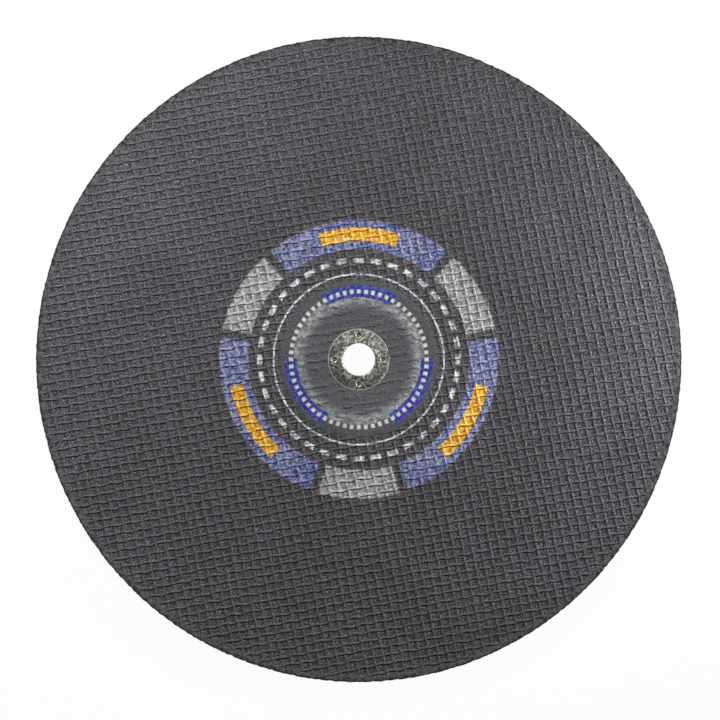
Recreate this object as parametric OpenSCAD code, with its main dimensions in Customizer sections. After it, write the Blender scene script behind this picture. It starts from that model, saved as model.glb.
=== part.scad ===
// Flat cut-off wheel: a resin-bonded abrasive disc with glass mesh moulded into both faces, a pressed
// steel ring lining its bore, and a round paper label pressed into the front face.
// The wheel lies on its back face: Z is its axis and the origin is the bore's centre on that face.

/* [Wheel] */
// Outside diameter of the wheel
wheel_d = 400; // [300:5:500]
// Thickness of the wheel over its yarn crests
wheel_t = 4.5; // [3.5:0.1:6]
// Height and width of the broken corner at the cutting edge
rim_break = 0.3; // [0.1:0.05:0.6]

/* [Woven relief] */
// Distance between neighbouring yarn rows
row_pitch = 5.23; // [4:0.01:8]
// Width of the level top of a yarn row
crest_w = 0.5; // [0.3:0.05:1]
// Width of the rounded shoulder on each side of that top
shoulder_w = 0.45; // [0.3:0.05:0.6]
// Drop of that shoulder
shoulder_drop = 0.11; // [0.05:0.01:0.14]
// Width of the steeper flank below each shoulder
flank_w = 0.4; // [0.3:0.05:0.6]
// Depth of the sunken windows between the rows
relief = 0.35; // [0.2:0.05:0.5]
// Turn of the front rows from the X axis, in degrees
front_turn = 10.6; // [-90:0.1:90]
// Turn of the back rows from the X axis, in degrees
back_turn = -10.6; // [-90:0.1:90]
// Radius of the smooth flange seat inside the rows
seat_r = 46; // [30:1:60]
// Width of the plain band outside the rows
rim_band = 4.5; // [2:0.5:10]
// Length over which the windows rise to the smooth seat and to the plain band
run_out = 5; // [2:0.5:12]

/* [Bore ring] */
// Diameter of the bore
bore_d = 20; // [16:0.1:22]
// Outside diameter of the ring's flange
ring_d = 38; // [36:0.5:50]
// Thickness of the ring's sheet steel
sheet_t = 0.6; // [0.4:0.05:0.8]
// Inside radius of the bend from flange to collar
bend_r = 0.5; // [0.2:0.05:0.8]
// Distance from the end of the collar to the back face
collar_gap = 0.2; // [0:0.05:0.6]
// Number of pierced dimples that lock the flange to the disc
dimple_n = 4; // [2:1:6]
// Diameter of the circle through the dimples
dimple_pcd = 30.2; // [29:0.1:32]
// Diameter of the hole through a dimple
pierce_d = 2.5; // [2:0.1:3]
// Inside radius of the bend around a dimple
pierce_bend_r = 0.2; // [0.1:0.05:0.4]
// Depth of a dimple's neck below the front face
pierce_depth = 1.9; // [1.5:0.1:2.5]
// Gap between the ring and the disc and label around it
ring_gap = 0.05; // [0.02:0.01:0.1]

/* [Label] */
// Diameter of the label
label_d = 175; // [120:1:200]
// Thickness of the label
label_t = 0.15; // [0.1:0.05:0.3]
// Gap under and around the label, which the resin film fills
label_gap = 0.02; // [0.01:0.01:0.05]

/* [Hidden] */
$fn = 128;

wheel_r = wheel_d / 2;
weave_r = wheel_r - rim_band;
bore_r = bore_d / 2;
ring_r = ring_d / 2;
pierce_r = pierce_d / 2;
label_r = label_d / 2;

// Cutters reach this far past the faces that they cut
past = 1;
// A dimple's lip runs this far into the flange that it is drawn from
lip_join = sheet_t / 2;
lip_r = pierce_r + pierce_bend_r + sheet_t;

row_count = 2 * ceil(wheel_r / row_pitch) + 1;
row_first = -row_pitch * (row_count - 1) / 2;
// The windows' cutter is joined at half a crest's width, this far above the yarn tops
comb_rise = crest_w / 4 * shoulder_drop / shoulder_w;
run_out_slope = relief / run_out;

// Points across one yarn row, from its left window over its top to its right window
function row_edge(x) = let(
        mid = crest_w / 2 + shoulder_w,
        foot = mid + flank_w
    ) [
        [x - foot, -relief],
        [x - mid, -shoulder_drop],
        [x - crest_w / 4, comb_rise],
        [x + crest_w / 4, comb_rise],
        [x + mid, -shoulder_drop],
        [x + foot, -relief]
    ];

// Section across all rows: the windows, joined to each other above the yarn tops
module comb_section() {
    rows = [for (i = [0:row_count - 1]) each row_edge(row_first + i * row_pitch)];
    left = rows[0];
    right = rows[len(rows) - 1];
    polygon(concat(rows, [[right[0], past], [left[0], past]]));
}

// Half section of the ring of windows, which rises to its inner and outer edge in a slope
module weave_zone_section() {
    top = 2 * comb_rise;
    bottom = -relief - comb_rise;
    polygon([
        [seat_r - top / run_out_slope, top],
        [seat_r - bottom / run_out_slope, bottom],
        [weave_r + bottom / run_out_slope, bottom],
        [weave_r + top / run_out_slope, top]
    ]);
}

// All the windows of a face whose yarn tops lie at height zero
module windows(turn) {
    intersection() {
        rotate(turn)
            rotate([90, 0, 90])
                linear_extrude(height = wheel_d, center = true)
                    comb_section();
        rotate_extrude()
            weave_zone_section();
    }
}

// Wheel blank with broken corners at its cutting edge
module blank() {
    rotate_extrude()
        polygon([
            [0, 0],
            [wheel_r - rim_break, 0],
            [wheel_r, rim_break],
            [wheel_r, wheel_t - rim_break],
            [wheel_r - rim_break, wheel_t],
            [0, wheel_t]
        ]);
}

// Wheel with its woven front face, lowered where a label lies on it
module front_form(lower) {
    translate([0, 0, -lower])
        difference() {
            blank();
            translate([0, 0, wheel_t])
                windows(front_turn);
        }
}

// Round slab over the label's place, from mid thickness to past the front face
module label_place(gap) {
    translate([0, 0, wheel_t / 2])
        cylinder(h = wheel_t / 2 + past, r = label_r + gap);
}

// Half section of sheet steel drawn down from a flange into a neck around a hole
module lip_section(hole_r, flange_r, bend, end_z) {
    bend_out = bend + sheet_t;
    translate([hole_r + bend_out, wheel_t - sheet_t])
        square([flange_r - hole_r - bend_out, sheet_t]);
    translate([hole_r, end_z])
        square([sheet_t, wheel_t - bend_out - end_z]);
    translate([hole_r + bend_out, wheel_t - bend_out])
        intersection() {
            difference() {
                circle(bend_out);
                circle(bend);
            }
            translate([-bend_out, 0])
                square(bend_out);
        }
}

// Half section of the room that such a lip needs in what it is pressed into
module lip_room_section(hole_r, flange_r, bend, end_z) {
    neck_r = hole_r + sheet_t + ring_gap;
    seat_z = wheel_t - sheet_t;
    translate([0, end_z])
        square([neck_r, wheel_t + past - end_z]);
    translate([0, seat_z])
        square([flange_r + ring_gap, sheet_t + past]);
    translate([neck_r, seat_z])
        difference() {
            translate([-ring_gap, -bend])
                square([bend, bend]);
            translate([bend - ring_gap, -bend])
                circle(bend - ring_gap);
        }
}

// Places its child at each dimple
module at_dimples() {
    for (i = [0:dimple_n - 1])
        rotate(i * 360 / dimple_n)
            translate([dimple_pcd / 2, 0, 0])
                children();
}

module abrasive_disc() {
    color("#54545a")
        difference() {
            front_form(0);
            mirror([0, 0, 1])
                windows(back_turn);
            difference() {
                label_place(label_gap);
                front_form(label_t + label_gap);
            }
            rotate_extrude()
                lip_room_section(bore_r, ring_r, bend_r, -past);
            at_dimples()
                rotate_extrude()
                    lip_room_section(pierce_r, lip_r, pierce_bend_r, wheel_t - pierce_depth - ring_gap);
        }
}

module bore_ring() {
    color("#7b7c78") {
        difference() {
            rotate_extrude()
                lip_section(bore_r, ring_r, bend_r, collar_gap);
            at_dimples()
                translate([0, 0, wheel_t - sheet_t - past])
                    cylinder(h = sheet_t + 2 * past, r = lip_r);
        }
        at_dimples()
            rotate_extrude()
                lip_section(pierce_r, lip_r + lip_join, pierce_bend_r, wheel_t - pierce_depth);
    }
}

module label() {
    color("#5a6296")
        difference() {
            intersection() {
                front_form(0);
                label_place(0);
            }
            front_form(label_t);
            cylinder(h = wheel_t + past, r = ring_r + ring_gap);
        }
}

abrasive_disc();
bore_ring();
label();
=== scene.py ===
import math

import bmesh
import bpy
import numpy as np
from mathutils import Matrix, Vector, noise


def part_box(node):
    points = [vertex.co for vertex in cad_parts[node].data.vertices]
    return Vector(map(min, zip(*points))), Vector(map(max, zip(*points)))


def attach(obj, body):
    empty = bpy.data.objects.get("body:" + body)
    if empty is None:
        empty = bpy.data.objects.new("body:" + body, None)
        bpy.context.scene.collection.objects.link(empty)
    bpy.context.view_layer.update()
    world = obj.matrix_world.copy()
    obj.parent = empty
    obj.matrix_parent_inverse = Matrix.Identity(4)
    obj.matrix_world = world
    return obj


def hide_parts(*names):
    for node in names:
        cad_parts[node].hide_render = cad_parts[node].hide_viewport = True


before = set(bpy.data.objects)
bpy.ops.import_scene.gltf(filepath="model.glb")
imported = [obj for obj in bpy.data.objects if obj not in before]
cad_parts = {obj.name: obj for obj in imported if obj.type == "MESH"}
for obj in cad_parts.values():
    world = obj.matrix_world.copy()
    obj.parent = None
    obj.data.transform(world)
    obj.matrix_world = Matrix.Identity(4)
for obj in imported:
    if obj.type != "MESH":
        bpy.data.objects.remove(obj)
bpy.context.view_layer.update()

# Abrasive disc
# Abrasive grain in resin with a woven glass mesh at each face, pressed hot and cured as one piece.
# The mesh lies just under the skin: its yarns stand up as rows and ticks, with sunken windows between.
MM = 0.001
disc_low, disc_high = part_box("abrasive_disc")
wheel_r = min(-disc_low.x, -disc_low.y, disc_high.x, disc_high.y) / MM
face_z = disc_high.z / MM
label_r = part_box("label")[1].x / MM
ring_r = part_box("bore_ring")[1].x / MM
row_pitch = 5.23
column_pitch = 5.63
row_turn = 10.6
column_lean = math.tan(math.radians(1.1))
relief = 0.35
crest_half = 0.2
steep_foot = 0.6
easy_foot = 1.15
crease_w = 0.45
crease_height = -0.35
tick_half = 0.9
row_sway = 0.3
column_sway = 0.18
wander = 0.6
shortest_edge = 0.35
seat_r = 46
weave_r = 197.4
rim_fade = 2
run_out = 5
label_t = 0.15
label_gap = 0.02
ring_gap = 0.05
sheet_t = 0.6
bore_r = 10
bend_r = 0.5
dimple_r = 15.1
pierce_r = 1.25
pierce_bend_r = 0.2
pierce_depth = 1.9
dimples = [(0, dimple_r), (dimple_r, 0), (0, -dimple_r), (-dimple_r, 0)]


def points(piece):
    """The piece's vertices in millimetres, one row each."""
    xyz = np.empty(len(piece.data.vertices) * 3, np.float32)
    piece.data.vertices.foreach_get("co", xyz)
    return xyz.reshape(-1, 3).astype(float) / MM


def move_points(piece, xyz):
    """Puts the piece's vertices at these places in millimetres."""
    piece.data.vertices.foreach_set("co", (xyz * MM).astype(np.float32).ravel())
    piece.data.update()


def smooth_step(low, high, value):
    """0 below low, 1 above high and a smooth rise between."""
    t = np.clip((value - low) / (high - low), 0, 1)
    return t * t * (3 - 2 * t)


def edge_ends(piece):
    """The two vertex numbers of each edge."""
    ends = np.empty(len(piece.data.edges) * 2, np.int32)
    piece.data.edges.foreach_get("vertices", ends)
    return ends.reshape(-1, 2)


def open_edges(piece):
    """Which edges have one face or none."""
    used = np.empty(len(piece.data.loops), np.int32)
    piece.data.loops.foreach_get("edge_index", used)
    return np.bincount(used, minlength=len(piece.data.edges)) < 2


def pick(piece, kind, chosen):
    """Opens the piece for editing with only these of its edges or polygons selected."""
    bpy.context.tool_settings.mesh_select_mode = (False, kind == "edges", kind == "polygons")
    for group in (piece.data.vertices, piece.data.edges, piece.data.polygons):
        group.foreach_set("select", np.zeros(len(group), bool))
    getattr(piece.data, kind).foreach_set("select", chosen)
    bpy.ops.object.mode_set(mode="EDIT")


def ring_edges(piece, radius, height, x=0, y=0):
    """Which open edges lie on the ring of that radius, height and centre."""
    xyz = points(piece)
    off = np.abs(np.hypot(xyz[:, 0] - x, xyz[:, 1] - y) - radius)
    on_ring = (off < 0.1) & (np.abs(xyz[:, 2] - height) < 1.5 * relief)
    return open_edges(piece) & on_ring[edge_ends(piece)].all(axis=1)


def sink_ring(piece, radius, height, lower):
    """Extrudes an open ring straight down."""
    pick(piece, "edges", ring_edges(piece, radius, height))
    bpy.ops.mesh.extrude_edges_move(TRANSFORM_OT_translate={"value": (0, 0, -lower * MM)})
    bpy.ops.object.mode_set(mode="OBJECT")


def fill_rings(piece, *rings):
    """Closes the level face between open rings."""
    pick(piece, "edges", np.any([ring_edges(piece, *ring) for ring in rings], axis=0))
    bpy.ops.mesh.fill(use_beauty=True)
    bpy.ops.object.mode_set(mode="OBJECT")


def zip_rings(piece, *rings):
    """Closes the narrow face between two open rings, with one triangle for each point on either."""
    xyz = points(piece)
    angle = np.arctan2(xyz[:, 1], xyz[:, 0])
    loops = [np.unique(edge_ends(piece)[ring_edges(piece, *ring)]) for ring in rings]
    loops = [loop[np.argsort(angle[loop])] for loop in loops]
    walk = sorted((angle[vertex], side, vertex) for side, loop in enumerate(loops) for vertex in loop)
    mesh = bmesh.new()
    mesh.from_mesh(piece.data)
    mesh.verts.ensure_lookup_table()
    here = [loop[-1] for loop in loops]
    for _, side, vertex in walk:
        mesh.faces.new([mesh.verts[i] for i in (*here, vertex)])
        here[side] = vertex
    mesh.to_mesh(piece.data)
    mesh.free()


def woven_face(name, low_r, high_r, turn, row_steps, column_steps, ticks=True):
    """A round woven face with its yarn tops at height 0, from a grid with lines along the yarns."""
    row_count = math.ceil(high_r / row_pitch) + 1
    column_count = math.ceil(high_r / column_pitch) + 1
    rows = np.arange(-row_count, row_count + 1) * row_pitch
    columns = np.arange(-column_count, column_count + 1) * column_pitch
    v_lines = np.add.outer(rows, row_steps).ravel()
    u_lines = np.add.outer(columns, column_steps).ravel()
    bpy.ops.object.select_all(action="DESELECT")
    bpy.ops.mesh.primitive_grid_add(
        x_subdivisions=len(u_lines) - 1, y_subdivisions=len(v_lines) - 1, size=2 * MM
    )
    face = bpy.context.object
    face.name = name
    line = (points(face) + 1) / 2
    u = u_lines[np.rint(line[:, 0] * (len(u_lines) - 1)).astype(int)]
    v = v_lines[np.rint(line[:, 1] * (len(v_lines) - 1)).astype(int)]

    # Rows and ticks pass over and under each other in turn, and bulge where they are on top
    over = np.cos(np.pi * u / column_pitch) * np.cos(np.pi * v / row_pitch)
    to_row = (v + row_pitch / 2) % row_pitch - row_pitch / 2
    from_column = np.abs((u + column_pitch / 2) % column_pitch - column_pitch / 2)
    drift = np.array([noise.noise_vector((a / 45, b / 45, turn)) for a, b in zip(u, v)])
    jitter = np.array([noise.noise_vector((a / 5, b / 5, turn + 50)) for a, b in zip(u, v)])
    row_places = (-steep_foot - crease_w, -steep_foot, -crest_half, crest_half, easy_foot)
    height = np.interp(to_row, row_places, (0, crease_height, 1, 1, 0)) * (0.82 + 0.18 * over)
    if ticks:
        tick = np.interp(from_column, (0, tick_half), (1, -1))
        tick *= 0.92 - 0.18 * over + 0.7 * jitter[:, 0]
        in_crease = np.isclose(to_row, -steep_foot)
        tick[in_crease] = np.minimum(tick, 0.1 - 0.38 * over)[in_crease]
        height = np.maximum(height, tick)
    depth = relief * np.clip(1 - height - 0.08 * jitter[:, 2], 0, 1.4)

    # Each yarn sways between its neighbours, and the whole mesh is a little out of true
    along = u + column_sway * np.sin(np.pi * v / row_pitch) * np.cos(np.pi * u / column_pitch)
    along += wander * drift[:, 0] + 0.4 * jitter[:, 1] - column_lean * v
    across = v - row_sway * np.sin(np.pi * u / column_pitch) * np.cos(np.pi * v / row_pitch)
    across += wander * drift[:, 1] + 0.45 * jitter[:, 0]
    angle = math.radians(turn)
    x = along * math.cos(angle) - across * math.sin(angle)
    y = along * math.sin(angle) + across * math.cos(angle)
    move_points(face, np.column_stack((x, y, -depth)))

    # The grid is cut round: of each edge that crosses a round, the nearer end is drawn onto it,
    # and the faces that are left outside go
    corners = np.empty(len(face.data.loops), np.int32)
    face.data.loops.foreach_get("vertex_index", corners)
    corners = corners.reshape(-1, 4)
    xyz = points(face)
    ends = edge_ends(face)
    far = np.hypot(x, y)
    depth_in = np.minimum(far - low_r, high_r - far)
    crossing = ends[depth_in[ends].prod(axis=1) < 0]
    nearer = np.abs(depth_in[crossing]).argmin(axis=1)
    depth_in[crossing[np.arange(len(crossing)), nearer]] = 0
    kept = (depth_in[corners] > 0).any(axis=1)
    drawn = np.unique(corners[kept])
    drawn = drawn[depth_in[drawn] <= 0]
    round_r = np.where(far > (low_r + high_r) / 2, high_r, low_r)
    xyz[drawn, :2] *= (round_r / far)[drawn, None]
    far = np.hypot(xyz[:, 0], xyz[:, 1])
    xyz[:, 2] *= smooth_step(seat_r, seat_r + run_out, far)
    xyz[:, 2] *= 1 - smooth_step(weave_r - rim_fade, weave_r, far)
    move_points(face, xyz)
    pick(face, "polygons", ~kept)
    bpy.ops.mesh.delete(type="FACE")
    bpy.ops.object.mode_set(mode="OBJECT")
    pick(face, "edges", open_edges(face))
    bpy.ops.mesh.remove_doubles(threshold=shortest_edge * MM)
    bpy.ops.object.mode_set(mode="OBJECT")
    return face


def lift(piece, height, mirrored=False):
    """Moves a woven face to its height, or upside down to it."""
    xyz = points(piece)
    xyz[:, 2] = height + (-xyz[:, 2] if mirrored else xyz[:, 2])
    move_points(piece, xyz)


def turned_wall(name, profile, steps, x=0, y=0):
    """An open wall turned about an upright axis, through these pairs of radius and height."""
    radius, height = profile[0]
    bpy.ops.object.select_all(action="DESELECT")
    bpy.ops.mesh.primitive_circle_add(
        vertices=steps, radius=radius * MM, location=(x * MM, y * MM, height * MM), enter_editmode=True
    )
    bpy.context.object.name = name
    for next_radius, next_height in profile[1:]:
        bpy.ops.mesh.extrude_edges_move(
            TRANSFORM_OT_translate={"value": (0, 0, (next_height - height) * MM)}
        )
        bpy.ops.transform.resize(
            value=(next_radius / radius, next_radius / radius, 1), center_override=(x * MM, y * MM, 0)
        )
        radius, height = next_radius, next_height
    bpy.ops.object.mode_set(mode="OBJECT")
    return bpy.context.object


def quarter_bend(start_r, start_z, bend, steps):
    """Profile of a sheet that bends from level inwards and then straight down."""
    turns = np.linspace(0, math.pi / 2, steps + 1)
    return [(start_r - bend * math.sin(t), start_z - bend * (1 - math.cos(t))) for t in turns]


def joined(name, parts):
    """One object from these parts, with its place in its mesh."""
    bpy.ops.object.select_all(action="DESELECT")
    for part in parts:
        part.select_set(True)
    bpy.context.view_layer.objects.active = parts[0]
    bpy.ops.object.join()
    bpy.ops.object.transform_apply(location=True, rotation=True, scale=True)
    parts[0].name = name
    return parts[0]


row_steps = (-steep_foot - crease_w, -steep_foot, -crest_half, crest_half, easy_foot)
column_steps = (-tick_half, 0, tick_half, column_pitch / 2)
few_rows = (-steep_foot, 0, easy_foot)
few_columns = (0, column_pitch / 2)
back_columns = (column_pitch / 2,)
bed_z = face_z - label_t - label_gap
bed_r = label_r - 0.6
pocket_r = ring_r + ring_gap
pocket_z = face_z - sheet_t
neck_r = bore_r + sheet_t + ring_gap
lock_r = pierce_r + sheet_t + ring_gap
lock_z = face_z - pierce_depth - ring_gap
rim_break = 0.3
bite_depth = 0.45
band_r = weave_r + 1
back_seat_r = 20

# One fixed seed, so that the mesh wanders the same way in every run
noise.seed_set(1)
front_face = woven_face("front", label_r + label_gap, weave_r, row_turn, row_steps, column_steps)
lift(front_face, face_z)
label_bed = woven_face("bed", pocket_r, bed_r, row_turn, few_rows, few_columns, False)
lift(label_bed, bed_z)
back_face = woven_face("back", back_seat_r, weave_r, -row_turn, few_rows, back_columns, False)
lift(back_face, 0, mirrored=True)

rim = turned_wall("rim", [
    (band_r, face_z),
    (wheel_r - rim_break, face_z),
    (wheel_r, face_z - rim_break),
    (wheel_r, rim_break),
    (wheel_r - rim_break, 0),
    (band_r, 0),
], 1200)
nibbled = points(rim)
for edge in np.flatnonzero(np.hypot(nibbled[:, 0], nibbled[:, 1]) > band_r + 0.5):
    bite = 0.5 + noise.noise(nibbled[edge] / 2.5) + 0.6 * noise.noise(nibbled[edge] / 0.9)
    nibbled[edge, :2] *= 1 - bite_depth / wheel_r * min(max(bite, 0), 1.6)
move_points(rim, nibbled)

neck_bend = quarter_bend(neck_r + bend_r - ring_gap, pocket_z, bend_r - ring_gap, 4)
bore_wall = turned_wall("bore", neck_bend + [(neck_r, 0)], 128)
lock_bend = quarter_bend(lock_r + pierce_bend_r - ring_gap, pocket_z, pierce_bend_r - ring_gap, 2)
lump = [(lock_r, lock_z), (1.16, lock_z), (1.1, 3.35), (0.85, 3.65), (0.4, 3.85), (0.02, 3.9)]
locks = [turned_wall("lock", lock_bend + lump, 24, x, y) for x, y in dimples]

disc = joined("cut_off_disc", [front_face, label_bed, back_face, rim, bore_wall, *locks])
lock_top_r = lock_bend[0][0]
zip_rings(disc, (weave_r, face_z), (band_r, face_z))
zip_rings(disc, (weave_r, 0), (band_r, 0))
sink_ring(disc, label_r + label_gap, face_z, face_z - bed_z)
zip_rings(disc, (label_r + label_gap, bed_z), (bed_r, bed_z))
sink_ring(disc, pocket_r, bed_z, bed_z - pocket_z)
lock_tops = [(lock_top_r, pocket_z, x, y) for x, y in dimples]
fill_rings(disc, (pocket_r, pocket_z), (neck_bend[0][0], pocket_z), *lock_tops)
zip_rings(disc, (neck_r, 0), (back_seat_r, 0))
for x, y in dimples:
    fill_rings(disc, (*lump[-1], x, y))
bpy.ops.object.mode_set(mode="EDIT")
bpy.ops.mesh.select_all(action="SELECT")
bpy.ops.mesh.normals_make_consistent(inside=False)
bpy.ops.object.mode_set(mode="OBJECT")
bpy.ops.object.shade_smooth_by_angle(angle=math.radians(12))


class Finish:
    """A material of one shader, with its nodes added one call at a time."""

    def __init__(self, name):
        self.material = bpy.data.materials.new(name)
        self.material.use_nodes = True
        self.tree = self.material.node_tree
        self.shader = self.tree.nodes["Principled BSDF"]
        to_mm = {0: self.node("ShaderNodeTexCoord").outputs["Object"], 1: (1 / MM,) * 3}
        self.mm = self.node("ShaderNodeVectorMath", to_mm, operation="MULTIPLY").outputs[0]
        self.x, self.y, self.z = self.node("ShaderNodeSeparateXYZ", {0: self.mm}).outputs
        self.radius = self.length(self.x, self.y)

    def node(self, kind, inputs=None, **settings):
        """A node with its settings, and with each input set or linked."""
        made = self.tree.nodes.new(kind)
        for name, value in settings.items():
            setattr(made, name, value)
        for socket, value in (inputs or {}).items():
            if isinstance(value, bpy.types.NodeSocket):
                self.tree.links.new(value, made.inputs[socket])
            else:
                made.inputs[socket].default_value = value
        return made

    def math(self, operation, a, b=0.0, c=0.0):
        return self.node("ShaderNodeMath", {0: a, 1: b, 2: c}, operation=operation).outputs[0]

    def weighted(self, a, a_weight, b, b_weight):
        """The sum of two values, each times its weight."""
        return self.math("ADD", self.math("MULTIPLY", a, a_weight), self.math("MULTIPLY", b, b_weight))

    def length(self, a, b):
        """The long side over two square to each other."""
        return self.math("SQRT", self.math("ADD", self.math("POWER", a, 2), self.math("POWER", b, 2)))

    def both(self, *masks):
        """Where all of these masks are on."""
        result = masks[0]
        for mask in masks[1:]:
            result = self.math("MULTIPLY", result, mask)
        return result

    def rise(self, value, low, high, bottom=0.0, top=1.0):
        """A smooth change from bottom to top as the value goes from low to high."""
        inputs = {"Value": value, "From Min": low, "From Max": high, "To Min": bottom, "To Max": top}
        return self.node("ShaderNodeMapRange", inputs, interpolation_type="SMOOTHSTEP").outputs[0]

    def between(self, value, low, high, edge):
        """1 between low and high, with soft edges of that width."""
        rising = self.rise(value, low - edge / 2, low + edge / 2)
        return self.both(rising, self.rise(value, high - edge / 2, high + edge / 2, 1.0, 0.0))

    def noise(self, scale, detail=2.0, roughness=0.55, stretch=None, offset=0.0):
        """Cloudy noise with that many features a millimetre."""
        vector = self.mm
        if stretch or offset:
            shift = {0: self.mm, 1: stretch or (1, 1, 1), 2: (offset,) * 3}
            vector = self.node("ShaderNodeVectorMath", shift, operation="MULTIPLY_ADD").outputs[0]
        inputs = {"Vector": vector, "Scale": scale, "Detail": detail, "Roughness": roughness}
        return self.node("ShaderNodeTexNoise", inputs).outputs["Fac"]

    def mix(self, factor, a, b):
        """Two colours mixed."""
        a, b = ((*colour, 1) if isinstance(colour, tuple) else colour for colour in (a, b))
        return self.node("ShaderNodeMix", {0: factor, 6: a, 7: b}, data_type="RGBA").outputs[2]

    def shades(self, value, *stops):
        """Colours by value, each stop a place and a colour."""
        ramp = self.node("ShaderNodeValToRGB", {0: value})
        while len(ramp.color_ramp.elements) < len(stops):
            ramp.color_ramp.elements.new(0.5)
        for element, (place, colour) in zip(ramp.color_ramp.elements, stops):
            element.position = place
            element.color = (*colour, 1)
        return ramp.outputs[0]

    def scaled(self, colour, factor):
        """A colour made darker or lighter."""
        inputs = {0: colour, "Scale": factor}
        return self.node("ShaderNodeVectorMath", inputs, operation="SCALE").outputs[0]

    def bump(self, height, depth, under=None):
        """Fine relief of that depth in millimetres."""
        inputs = {"Height": height, "Distance": depth * MM, "Strength": 1.0}
        if under:
            inputs["Normal"] = under
        return self.node("ShaderNodeBump", inputs).outputs[0]

    def set(self, **inputs):
        """Sets or links the shader's own sockets."""
        for name, value in inputs.items():
            socket = self.shader.inputs[name.replace("_", " ")]
            if isinstance(value, bpy.types.NodeSocket):
                self.tree.links.new(value, socket)
            else:
                socket.default_value = value


def grain_tone(finish):
    """Resin-and-grain charcoal, where its yarns are, its tone by place and painted shade in the creases.
    """
    speckle = finish.rise(finish.noise(1.15, 1.0, 0.8), 0.26, 0.74)
    sunken = finish.shades(
        speckle,
        (0.0, (0.017, 0.0168, 0.0183)),
        (0.35, (0.055, 0.0543, 0.0593)),
        (0.75, (0.094, 0.0927, 0.1012)),
        (1.0, (0.25, 0.2465, 0.268)),
    )
    raised = finish.shades(
        speckle,
        (0.0, (0.06, 0.0592, 0.0646)),
        (0.5, (0.096, 0.0947, 0.1032)),
        (1.0, (0.155, 0.1528, 0.1665)),
    )
    from_middle = finish.math("ABSOLUTE", finish.math("SUBTRACT", finish.z, face_z / 2))
    yarn = finish.rise(from_middle, face_z / 2 - 0.8 * relief, face_z / 2 - 0.25 * relief)
    # Painted shade: darker in the creases beside the rows, partly the darker resin there.
    crease_low = face_z / 2 - 1.3 * relief
    crease_high = face_z / 2 - 1.05 * relief
    painted_crease_shade = finish.rise(from_middle, crease_low, crease_high, 0.55, 1.0)
    cloud = finish.rise(finish.noise(0.02, 3.0, 0.5), 0.3, 0.7, 0.92, 1.08)
    outwards = finish.rise(finish.radius, 80.0, 200.0, 0.97, 1.08)
    return finish.mix(yarn, sunken, raised), yarn, finish.both(painted_crease_shade, cloud, outwards)


charcoal = Finish("charcoal_resin_and_grain")
# The tone is scaled by painted shade in the creases, by random cloud and by a rise towards the rim.
tone, yarn, shade = grain_tone(charcoal)
tone = charcoal.scaled(tone, shade)
band = charcoal.rise(charcoal.radius, weave_r - 1.5, weave_r + 0.5)
band_tone = charcoal.shades(
    charcoal.rise(charcoal.noise(0.45, 2.0, 0.7, offset=41.0), 0.3, 0.7),
    (0.0, (0.012, 0.0118, 0.0129)),
    (0.4, (0.072, 0.071, 0.0774)),
    (1.0, (0.16, 0.1579, 0.172)),
)
tone = charcoal.mix(band, tone, band_tone)
sparks = charcoal.rise(charcoal.noise(0.9, 0.0, 0.5, offset=31.0), 0.83, 0.88)
tone = charcoal.mix(sparks, tone, (0.4, 0.39, 0.36))
cut_edge = charcoal.rise(charcoal.radius, wheel_r - 1.4, wheel_r - 0.9)
rim_speck = charcoal.rise(charcoal.noise(0.7, 2.0, offset=12.0), 0.62, 0.74)
rim_tone = charcoal.mix(rim_speck, (0.03, 0.024, 0.018), (0.2, 0.11, 0.045))
tone = charcoal.mix(cut_edge, tone, rim_tone)
# Dimple pit grain: its own copper or grey-brown colour, lightened as painted light against the pits'
# shade.
in_lock = charcoal.both(
    charcoal.between(charcoal.radius, 12.2, 18.0, 0.4),
    charcoal.rise(charcoal.z, lock_z - 0.4, lock_z - 0.2),
)
lock_grain_and_painted_light = charcoal.mix(charcoal.rise(charcoal.y, 12.0, 12.5), (0.56, 0.52, 0.51), (0.95, 0.58, 0.27))
tone = charcoal.mix(in_lock, tone, lock_grain_and_painted_light)
grit = charcoal.noise(1.1, 2.0, 0.75, offset=5.0)
grit_relief = charcoal.both(grit, charcoal.rise(yarn, 0.0, 1.0, 1.0, 0.6))
row_cos = math.cos(math.radians(row_turn))
row_sin = math.sin(math.radians(row_turn))
along = charcoal.weighted(charcoal.x, row_cos, charcoal.y, -row_sin)
to_column = charcoal.math("PINGPONG", along, column_pitch / 2)
back_ticks = charcoal.both(
    charcoal.rise(to_column, 0.0, tick_half, 1.0, 0.0),
    charcoal.rise(charcoal.z, relief + 0.1, relief + 0.2, 1.0, 0.0),
    charcoal.between(charcoal.radius, seat_r + run_out / 2, weave_r - 1, 2.0),
)
charcoal.set(
    Base_Color=tone,
    Roughness=charcoal.rise(grit, 0.3, 0.7, 0.5, 0.78),
    Specular_IOR_Level=0.12,
    Normal=charcoal.bump(grit_relief, 0.16, charcoal.bump(back_ticks, 0.25)),
)
disc.data.materials.append(charcoal.material)
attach(disc, "root")
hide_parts("abrasive_disc")

# Bore ring
# A washer of zinc-plated sheet steel pressed flush into the front face. Its inner edge is drawn down
# as a collar that lines the bore, and four pierced dimples are pushed into the mix to lock it.
collar_end = 0.2
collar_bend = quarter_bend(bore_r + bend_r + sheet_t, face_z, bend_r + sheet_t, 6)
dimple_bend = quarter_bend(pierce_r + pierce_bend_r + sheet_t, face_z, pierce_bend_r + sheet_t, 5)
flange_edge = turned_wall("edge", [(ring_r, face_z)], 160)
collar = turned_wall("collar", collar_bend + [(bore_r, collar_end)], 160)
neck_profile = dimple_bend + [(pierce_r, face_z - pierce_depth)]
necks = [turned_wall("neck", neck_profile, 32, x, y) for x, y in dimples]
ring = joined("steel_bore_ring", [flange_edge, collar, *necks])
dimple_tops = [(dimple_bend[0][0], face_z, x, y) for x, y in dimples]
fill_rings(ring, (ring_r, face_z), (collar_bend[0][0], face_z), *dimple_tops)
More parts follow.
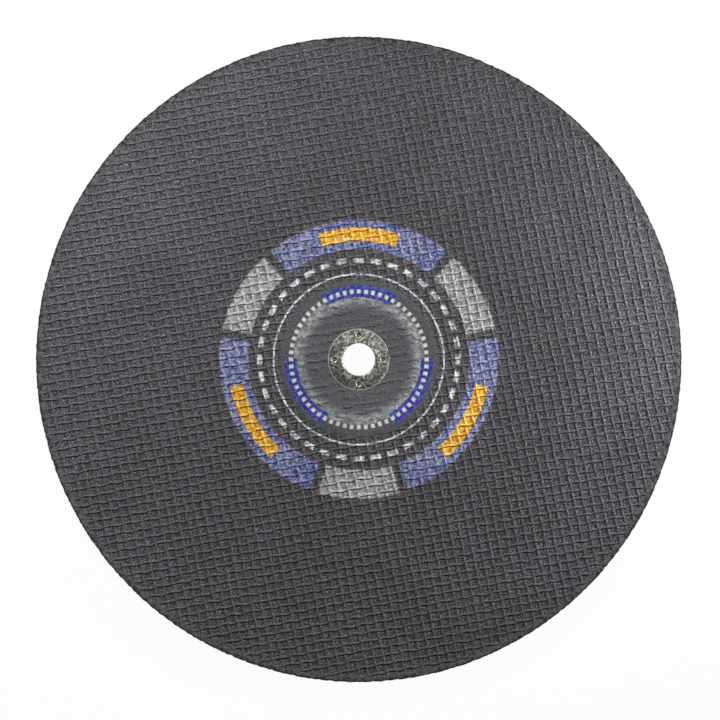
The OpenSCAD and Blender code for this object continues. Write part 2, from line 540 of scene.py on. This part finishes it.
bpy.ops.object.mode_set(mode="EDIT")
bpy.ops.mesh.select_all(action="SELECT")
bpy.ops.mesh.normals_make_consistent(inside=False)
bpy.ops.object.mode_set(mode="OBJECT")
sheet = ring.modifiers.new("sheet", "SOLIDIFY")
sheet.thickness = sheet_t * MM
sheet.offset = -1
bpy.ops.object.modifier_apply(modifier=sheet.name)
edges = ring.modifiers.new("sheared edges", "BEVEL")
edges.width = 0.12 * MM
edges.segments = 2
edges.angle_limit = math.radians(60)
bpy.ops.object.modifier_apply(modifier=edges.name)
bpy.ops.object.shade_smooth_by_angle(angle=math.radians(40))

zinc = Finish("dull_zinc_plate")
mottle = zinc.rise(zinc.noise(0.5, 3.0, 0.85), 0.31, 0.69)
plate = zinc.shades(
    mottle,
    (0.0, (0.027, 0.029, 0.021)),
    (0.4, (0.098, 0.104, 0.087)),
    (0.7, (0.22, 0.229, 0.206)),
    (1.0, (0.56, 0.565, 0.54)),
)
# Painted sheen: the plate is lighter towards the upper right, where light falls, and also round the
# bore.
toward_lit_side = zinc.weighted(zinc.x, 0.42, zinc.y, 0.91)
painted_sheen = zinc.both(
    zinc.rise(toward_lit_side, -17.0, 17.0, 0.62, 1.45),
    zinc.rise(zinc.radius, 11.5, 17.5, 1.2, 0.85),
)
plate = zinc.scaled(plate, painted_sheen)
scratch = zinc.rise(zinc.noise(0.5, 2.0, 0.6, (0.25, 1.8, 1.0), 9.0), 0.64, 0.76)
plate = zinc.mix(zinc.both(scratch, scratch), plate, (0.55, 0.56, 0.54))
outer_edge = zinc.rise(zinc.radius, ring_r - 0.45, ring_r - 0.15)
plate = zinc.mix(outer_edge, plate, (0.62, 0.57, 0.53))
from_x = zinc.math("SUBTRACT", zinc.math("ABSOLUTE", zinc.x), dimple_r)
from_y = zinc.math("SUBTRACT", zinc.math("ABSOLUTE", zinc.y), dimple_r)
to_dimple = zinc.math("MINIMUM", zinc.length(from_x, zinc.y), zinc.length(zinc.x, from_y))
plate = zinc.mix(zinc.between(to_dimple, 1.2, 2.0, 0.3), plate, (0.3, 0.29, 0.265))
rust = zinc.rise(zinc.noise(0.42, 1.0, 0.5, offset=23.0), 0.68, 0.74)
plate = zinc.mix(rust, plate, (0.17, 0.08, 0.045))
zinc.set(
    Base_Color=plate,
    Metallic=0.75,
    Roughness=zinc.rise(mottle, 0.0, 1.0, 0.55, 0.38),
    Normal=zinc.bump(zinc.noise(0.9, 3.0, 0.6), 0.05),
)
ring.data.materials.append(zinc.material)
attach(ring, "root")
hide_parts("bore_ring")

# Label
# A round of printed paper laid in the mould with the mesh and pressed into the front face, so that the
# weave shows through it. Its resin-soaked print has blue and pale fields, orange bars and plain dashes.
label = woven_face("printed_label", pocket_r, label_r, row_turn, row_steps, column_steps)
lift(label, face_z)
paper = label.modifiers.new("paper", "SOLIDIFY")
paper.thickness = label_t * MM
paper.offset = -1
bpy.ops.object.modifier_apply(modifier=paper.name)
bpy.ops.object.shade_smooth_by_angle(angle=math.radians(12))

ink = Finish("printed_paper")
wobble = ink.math("MULTIPLY", ink.math("SUBTRACT", ink.noise(0.8, 2.0), 0.5), 1.2)
print_r = ink.math("ADD", ink.radius, wobble)
angle = ink.math("ARCTAN2", ink.y, ink.x)


def turn_part(copies, middle):
    """Place in one of several equal sectors, from -0.5 to 0.5, with 0 at an angle in degrees."""
    start = 0.5 - copies * middle / 360 + copies
    turns = ink.math("MULTIPLY_ADD", angle, copies / math.tau, start)
    return ink.math("SUBTRACT", ink.math("FRACT", turns), 0.5)


def sectors(copies, middle, width):
    """Equal sectors, each that many degrees wide."""
    half = width / 360 * copies / 2
    return ink.between(turn_part(copies, middle), -half, half, 0.004 * copies)


# The print is scaled by the same painted crease shade, random cloud and rise towards the rim.
black, yarn, shade = grain_tone(ink)
speckle = ink.rise(ink.noise(0.62, 2.0, 0.8, offset=3.0), 0.3, 0.7)


def print_tone(sunken, raised):
    """Printed colour from its dark, middle and light tones in the windows and on the yarns."""
    tones = [ink.shades(speckle, *zip((0.0, 0.5, 1.0), stops)) for stops in (sunken, raised)]
    return ink.mix(yarn, *tones)


blue = print_tone(
    [(0.03, 0.035, 0.08), (0.11, 0.125, 0.29), (0.38, 0.392, 0.48)],
    [(0.065, 0.082, 0.3), (0.145, 0.168, 0.43), (0.31, 0.332, 0.55)],
)
haze = ink.rise(ink.noise(0.03, 2.0, 0.5, offset=8.0), 0.35, 0.7, 0.1, 0.65)
blue = ink.mix(ink.both(haze, speckle), blue, (0.4, 0.42, 0.51))
deep_blue = ink.shades(
    speckle, (0.0, (0.022, 0.03, 0.15)), (0.5, (0.045, 0.062, 0.33)), (1.0, (0.14, 0.16, 0.42))
)
blue = ink.mix(ink.rise(ink.radius, seat_r - 1, seat_r + 4), deep_blue, blue)
pale = print_tone(
    [(0.15, 0.1515, 0.154), (0.34, 0.343, 0.347), (0.6, 0.604, 0.608)],
    [(0.27, 0.273, 0.276), (0.45, 0.454, 0.458), (0.66, 0.664, 0.668)],
)
white = print_tone(
    [(0.22, 0.224, 0.226), (0.5, 0.506, 0.508), (0.8, 0.805, 0.8)],
    [(0.5, 0.506, 0.506), (0.7, 0.706, 0.702), (0.86, 0.864, 0.86)],
)
orange = print_tone(
    [(0.42, 0.16, 0.015), (0.82, 0.42, 0.035), (0.94, 0.66, 0.22)],
    [(0.66, 0.3, 0.02), (0.9, 0.5, 0.045), (0.95, 0.7, 0.26)],
)

past_rows = ink.weighted(ink.y, row_cos, ink.x, -row_sin)
stray = ink.math("MULTIPLY", ink.noise(0.16, 2.0, 0.6, offset=2.0), 5.0)
ripple = ink.math("SINE", ink.math("MULTIPLY", ink.math("ADD", past_rows, stray), math.tau / row_pitch))
ripple_here = ink.rise(ink.noise(0.14, 2.0, 0.6, offset=14.0), 0.35, 0.65)
centre = ink.rise(print_r, 37.2, 38.4, 1.0, 0.0)
centre_tone = ink.shades(
    ink.rise(ink.noise(1.3, 1.0, 0.8, offset=17.0), 0.25, 0.75),
    (0.0, (0.058, 0.0585, 0.064)),
    (0.5, (0.1, 0.101, 0.11)),
    (1.0, (0.19, 0.193, 0.203)),
)
surface = ink.mix(centre, black, centre_tone)
veil = ink.both(
    ink.rise(print_r, 30.5, 39.0),
    ink.rise(print_r, 39.6, 41.2, 1.0, 0.0),
    ink.rise(ink.noise(0.22, 3.0, 0.65, offset=27.0), 0.32, 0.62, 0.2, 1.0),
)
surface = ink.mix(veil, surface, ink.mix(speckle, (0.22, 0.222, 0.226), (0.56, 0.563, 0.566)))
outer_band = ink.between(print_r, 68.5, 86.3, 1.4)
inner_band = ink.both(ink.between(print_r, 38.5, 46.0, 0.8), sectors(3, 90, 62))
inner_fringe = ink.between(print_r, 65.8, 69.0, 2.4)
outer_fringe = ink.between(print_r, 85.6, 88.6, 1.2)
fringes = ink.math("MAXIMUM", inner_fringe, outer_fringe)
patches = ink.rise(ink.noise(0.1, 2.0, 0.6, offset=35.0), 0.4, 0.62)
surface = ink.mix(ink.both(fringes, speckle, patches), surface, (0.15, 0.085, 0.09))
blue_field = ink.math("MAXIMUM", ink.both(outer_band, sectors(3, 90, 78)), inner_band)
surface = ink.mix(blue_field, surface, blue)
pale_field = ink.both(outer_band, sectors(3, 30, 34))
surface = ink.mix(ink.math("MULTIPLY", pale_field, 0.9), surface, pale)
bars = ink.both(ink.between(print_r, 73.4, 81.6, 0.6), sectors(3, 90, 36))
surface = ink.mix(bars, surface, orange)
dashes = ink.both(ink.between(print_r, 59.9, 62.9, 0.5), sectors(36, 0, 5.8))
dots = ink.both(ink.between(print_r, 40.7, 43.3, 0.5), sectors(60, 0, 3.0))
thin_line = ink.between(print_r, 52.2, 53.3, 0.5)
surface = ink.mix(ink.math("MAXIMUM", ink.math("MAXIMUM", dashes, dots), thin_line), surface, white)
grit = ink.noise(1.1, 3.0, 0.7, offset=5.0)
waves = ink.bump(ink.both(ink.rise(ripple, -0.2, 1.0), ripple_here, centre), 0.3)
ink.set(
    Base_Color=ink.scaled(surface, shade),
    Roughness=ink.rise(grit, 0.3, 0.7, 0.5, 0.75),
    Specular_IOR_Level=0.12,
    Normal=ink.bump(grit, 0.06, waves),
)
label.data.materials.append(ink.material)
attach(label, "root")
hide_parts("label")

# Photo table
# The wheel lies face up on a plain pale table, with the camera straight above its middle. One soft light
# stands far beyond its upper left and one low at its right, each behind a grid that narrows its beam.
view_lens = 100
view_sensor = 36
view_width = 0.4455
camera_x = 0.00074
camera_y = -0.00037
camera_z = face_z * MM + view_width * view_lens / view_sensor
bpy.ops.object.camera_add(location=(camera_x, camera_y, camera_z), rotation=(0, 0, 0))
camera = bpy.context.object
camera.data.lens = view_lens
camera.data.sensor_width = view_sensor
camera.data.clip_start = 0.01
bpy.context.scene.camera = camera


def soft_light(name, place, aim, width, height, spread, power):
    """An area light behind a grid, which keeps its light near where it is aimed."""
    bpy.ops.object.light_add(type="AREA", location=place)
    lamp = bpy.context.object
    lamp.name = name
    lamp.rotation_mode = "QUATERNION"
    lamp.rotation_quaternion = (Vector(aim) - Vector(place)).to_track_quat("-Z", "Y")
    lamp.data.shape = "RECTANGLE"
    lamp.data.size = width
    lamp.data.size_y = height
    lamp.data.spread = math.radians(spread)
    lamp.data.energy = power


soft_light("light_beyond", (-0.45, 0.8, 0.322), (-0.198, 0.016, 0), 0.2, 0.08, 84.8, 3.35)
soft_light("light_right", (0.575, 0.116, 0.1), (0.4, 0.088, 0), 0.08, 0.04, 85.8, 2.5)


def seen_rays(tree):
    """1 for what the camera sees, directly, mirrored or through glass, and 0 for all other light."""
    path = tree.nodes.new("ShaderNodeLightPath")
    seen = path.outputs["Is Camera Ray"]
    for ray in ("Is Glossy Ray", "Is Transmission Ray"):
        either = tree.nodes.new("ShaderNodeMath")
        either.operation = "MAXIMUM"
        tree.links.new(seen, either.inputs[0])
        tree.links.new(path.outputs[ray], either.inputs[1])
        seen = either.outputs[0]
    return seen


def mix_shaders(tree, factor, first, second):
    """Two shaders mixed."""
    mixed = tree.nodes.new("ShaderNodeMixShader")
    if isinstance(factor, bpy.types.NodeSocket):
        tree.links.new(factor, mixed.inputs[0])
    else:
        mixed.inputs[0].default_value = factor
    tree.links.new(first, mixed.inputs[1])
    tree.links.new(second, mixed.inputs[2])
    return mixed.outputs[0]


bpy.ops.object.select_all(action="DESELECT")
bpy.ops.mesh.primitive_plane_add(size=8)
table = bpy.context.object
table.name = "table"
table_finish = Finish("pale_table")
table_tone = table_finish.rise(table_finish.noise(0.01, 3.0), 0.3, 0.7, 0.84, 0.88)
table_finish.set(Base_Color=table_tone, Roughness=0.8)
tree = table_finish.tree
glow = tree.nodes.new("ShaderNodeEmission")
plain = table_finish.shader.outputs[0]
white_table = mix_shaders(tree, 0.96, plain, glow.outputs[0])
seen = seen_rays(tree)
tree.links.new(mix_shaders(tree, seen, plain, white_table), tree.nodes["Material Output"].inputs[0])
table.data.materials.append(table_finish.material)

world = bpy.data.worlds.new("studio")
bpy.context.scene.world = world
world.use_nodes = True
tree = world.node_tree
room = tree.nodes["Background"]
room.inputs["Color"].default_value = (1, 1, 1, 1)
room.inputs["Strength"].default_value = 0.035
backdrop = tree.nodes.new("ShaderNodeBackground")
seen = seen_rays(tree)
tree.links.new(
    mix_shaders(tree, seen, room.outputs[0], backdrop.outputs[0]), tree.nodes["World Output"].inputs[0]
)
bpy.context.scene.view_settings.view_transform = "Standard"
